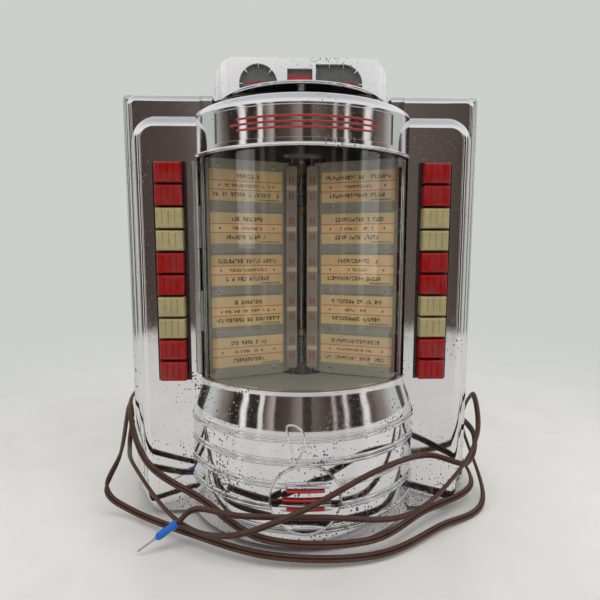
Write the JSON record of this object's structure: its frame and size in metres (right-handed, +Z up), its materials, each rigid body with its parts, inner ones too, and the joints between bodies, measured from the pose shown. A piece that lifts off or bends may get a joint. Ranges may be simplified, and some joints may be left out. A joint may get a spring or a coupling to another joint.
{
  "type": "jukebox wall box selector",
  "caption": "Chromed wall box with a barrel front, curved window door, turning title leaves, banks of sprung keys, crest with coin slots and a loose twin cord.",
  "frame": {"origin": "centre of the object's box at the underside of its feet, on the surface it stands on", "axes": "+Z up, the front with the window and keys faces -Y, +X to the right seen from the front"},
  "size_m": [0.3383, 0.2457, 0.388],
  "materials": {
    "chrome_casting": "polished plate, pitted with age",
    "chrome_case": "polished plate, worn at the edges",
    "zinc_plate": "dull zinc",
    "foot_rubber": "matt",
    "screw_steel": "plated",
    "cream_enamel": "satin, aged",
    "black_enamel": "satin",
    "phenolic": "moulded",
    "lamp_tube": "opal tube",
    "dark_enamel": "satin",
    "dial_face": "satin, dusty",
    "bare_steel": "rolled, dull",
    "grey_enamel": "hammer finish",
    "core_steel": "varnished laminations",
    "spring_steel": "blued",
    "gland_rubber": "matt",
    "cord_brown": "soft vinyl, dull",
    "terminal_blue": "vinyl sleeve",
    "window_plastic": "clear, lightly scuffed",
    "leaf_grey": "sheet with aged cream paper strips",
    "key_red": "moulded, slightly worn",
    "key_cream": "moulded, yellowed"
  },
  "bodies": {
    "root": {"case": "chrome_case", "back_plate": "zinc_plate", "feet": "foot_rubber", "back_screws": "screw_steel", "front_casting": "chrome_casting", "barrel_front": "chrome_casting", "window_ledge": "cream_enamel", "key_frames": "black_enamel", "key_guides": "phenolic", "lamps": "lamp_tube", "wheel_well": "dark_enamel", "crest": "chrome_casting", "crest_dials": "dial_face", "coin_chute": "bare_steel", "coin_rejector": "bare_steel", "cash_box": "grey_enamel", "transformer": "core_steel", "credit_unit": "bare_steel", "rotor_bracket": "bare_steel", "detent_arm": "spring_steel", "hinge_fixed_leaf": "bare_steel", "hinge_pin": "spring_steel", "door_catch": "spring_steel", "cord_gland": "gland_rubber", "cord": "cord_brown", "crimp_terminal": "terminal_blue"},
    "door": {"crown": "chrome_casting", "window": "window_plastic", "window_frame": "bare_steel", "hinge_door_leaf": "bare_steel"},
    "rotor": {"page_wheel": "chrome_case", "rotor_shaft": "bare_steel", "leaf_carriers": "bare_steel", "leaf_pins": "spring_steel"},
    "leaf_1": {"leaf_1": "leaf_grey"},
    "leaf_2": {"leaf_2": "leaf_grey"},
    "leaf_3": {"leaf_3": "leaf_grey"},
    "leaf_4": {"leaf_4": "leaf_grey"},
    "leaf_5": {"leaf_5": "leaf_grey"},
    "leaf_6": {"leaf_6": "leaf_grey"},
    "key_left_1": {"key_left_1": "key_red"},
    "key_left_2": {"key_left_2": "key_red"},
    "key_left_3": {"key_left_3": "key_cream"},
    "key_left_4": {"key_left_4": "key_cream"},
    "key_left_5": {"key_left_5": "key_red"},
    "key_left_6": {"key_left_6": "key_red"},
    "key_left_7": {"key_left_7": "key_cream"},
    "key_left_8": {"key_left_8": "key_cream"},
    "key_left_9": {"key_left_9": "key_red"},
    "key_left_10": {"key_left_10": "key_red"},
    "key_right_1": {"key_right_1": "key_red"},
    "key_right_2": {"key_right_2": "key_red"},
    "key_right_3": {"key_right_3": "key_cream"},
    "key_right_4": {"key_right_4": "key_cream"},
    "key_right_5": {"key_right_5": "key_red"},
    "key_right_6": {"key_right_6": "key_red"},
    "key_right_7": {"key_right_7": "key_cream"},
    "key_right_8": {"key_right_8": "key_cream"},
    "key_right_9": {"key_right_9": "key_red"},
    "key_right_10": {"key_right_10": "key_red"}
  },
  "joints": [
    {"name": "window_door_hinge", "type": "hinge", "parent": "root", "child": "door", "pos_m": [-0.0845, -0.0505, 0.21], "axis": [0, 0, -1], "range_deg": [0, 95]},
    {"name": "page_wheel_turn", "type": "hinge", "parent": "root", "child": "rotor", "pos_m": [0, 0.004, 0.2], "axis": [0, 0, 1], "continuous": true},
    {"name": "leaf_1_swing", "type": "hinge", "parent": "rotor", "child": "leaf_1", "pos_m": [0.0085, -0.01072, 0.208], "axis": [0, 0, 1], "range_deg": [-10, 10], "stiffness_Nm_per_rad": 0.05},
    {"name": "leaf_2_swing", "type": "hinge", "parent": "rotor", "child": "leaf_2", "pos_m": [0.017, 0.004, 0.208], "axis": [0, 0, 1], "range_deg": [-10, 10], "stiffness_Nm_per_rad": 0.05},
    {"name": "leaf_3_swing", "type": "hinge", "parent": "rotor", "child": "leaf_3", "pos_m": [0.0085, 0.01872, 0.208], "axis": [0, 0, 1], "range_deg": [-10, 10], "stiffness_Nm_per_rad": 0.05},
    {"name": "leaf_4_swing", "type": "hinge", "parent": "rotor", "child": "leaf_4", "pos_m": [-0.0085, 0.01872, 0.208], "axis": [0, 0, 1], "range_deg": [-10, 10], "stiffness_Nm_per_rad": 0.05},
    {"name": "leaf_5_swing", "type": "hinge", "parent": "rotor", "child": "leaf_5", "pos_m": [-0.017, 0.004, 0.208], "axis": [0, 0, 1], "range_deg": [-10, 10], "stiffness_Nm_per_rad": 0.05},
    {"name": "leaf_6_swing", "type": "hinge", "parent": "rotor", "child": "leaf_6", "pos_m": [-0.0085, -0.01072, 0.208], "axis": [0, 0, 1], "range_deg": [-10, 10], "stiffness_Nm_per_rad": 0.05},
    {"name": "key_left_1_press", "type": "slide", "parent": "root", "child": "key_left_1", "axis": [0, 1, 0], "range_m": [0, 0.0035], "stiffness_N_per_m": 300},
    {"name": "key_left_2_press", "type": "slide", "parent": "root", "child": "key_left_2", "axis": [0, 1, 0], "range_m": [0, 0.0035], "stiffness_N_per_m": 300},
    {"name": "key_left_3_press", "type": "slide", "parent": "root", "child": "key_left_3", "axis": [0, 1, 0], "range_m": [0, 0.0035], "stiffness_N_per_m": 300},
    {"name": "key_left_4_press", "type": "slide", "parent": "root", "child": "key_left_4", "axis": [0, 1, 0], "range_m": [0, 0.0035], "stiffness_N_per_m": 300},
    {"name": "key_left_5_press", "type": "slide", "parent": "root", "child": "key_left_5", "axis": [0, 1, 0], "range_m": [0, 0.0035], "stiffness_N_per_m": 300},
    {"name": "key_left_6_press", "type": "slide", "parent": "root", "child": "key_left_6", "axis": [0, 1, 0], "range_m": [0, 0.0035], "stiffness_N_per_m": 300},
    {"name": "key_left_7_press", "type": "slide", "parent": "root", "child": "key_left_7", "axis": [0, 1, 0], "range_m": [0, 0.0035], "stiffness_N_per_m": 300},
    {"name": "key_left_8_press", "type": "slide", "parent": "root", "child": "key_left_8", "axis": [0, 1, 0], "range_m": [0, 0.0035], "stiffness_N_per_m": 300},
    {"name": "key_left_9_press", "type": "slide", "parent": "root", "child": "key_left_9", "axis": [0, 1, 0], "range_m": [0, 0.0035], "stiffness_N_per_m": 300},
    {"name": "key_left_10_press", "type": "slide", "parent": "root", "child": "key_left_10", "axis": [0, 1, 0], "range_m": [0, 0.0035], "stiffness_N_per_m": 300},
    {"name": "key_right_1_press", "type": "slide", "parent": "root", "child": "key_right_1", "axis": [0, 1, 0], "range_m": [0, 0.0035], "stiffness_N_per_m": 300},
    {"name": "key_right_2_press", "type": "slide", "parent": "root", "child": "key_right_2", "axis": [0, 1, 0], "range_m": [0, 0.0035], "stiffness_N_per_m": 300},
    {"name": "key_right_3_press", "type": "slide", "parent": "root", "child": "key_right_3", "axis": [0, 1, 0], "range_m": [0, 0.0035], "stiffness_N_per_m": 300},
    {"name": "key_right_4_press", "type": "slide", "parent": "root", "child": "key_right_4", "axis": [0, 1, 0], "range_m": [0, 0.0035], "stiffness_N_per_m": 300},
    {"name": "key_right_5_press", "type": "slide", "parent": "root", "child": "key_right_5", "axis": [0, 1, 0], "range_m": [0, 0.0035], "stiffness_N_per_m": 300},
    {"name": "key_right_6_press", "type": "slide", "parent": "root", "child": "key_right_6", "axis": [0, 1, 0], "range_m": [0, 0.0035], "stiffness_N_per_m": 300},
    {"name": "key_right_7_press", "type": "slide", "parent": "root", "child": "key_right_7", "axis": [0, 1, 0], "range_m": [0, 0.0035], "stiffness_N_per_m": 300},
    {"name": "key_right_8_press", "type": "slide", "parent": "root", "child": "key_right_8", "axis": [0, 1, 0], "range_m": [0, 0.0035], "stiffness_N_per_m": 300},
    {"name": "key_right_9_press", "type": "slide", "parent": "root", "child": "key_right_9", "axis": [0, 1, 0], "range_m": [0, 0.0035], "stiffness_N_per_m": 300},
    {"name": "key_right_10_press", "type": "slide", "parent": "root", "child": "key_right_10", "axis": [0, 1, 0], "range_m": [0, 0.0035], "stiffness_N_per_m": 300}
  ]
}
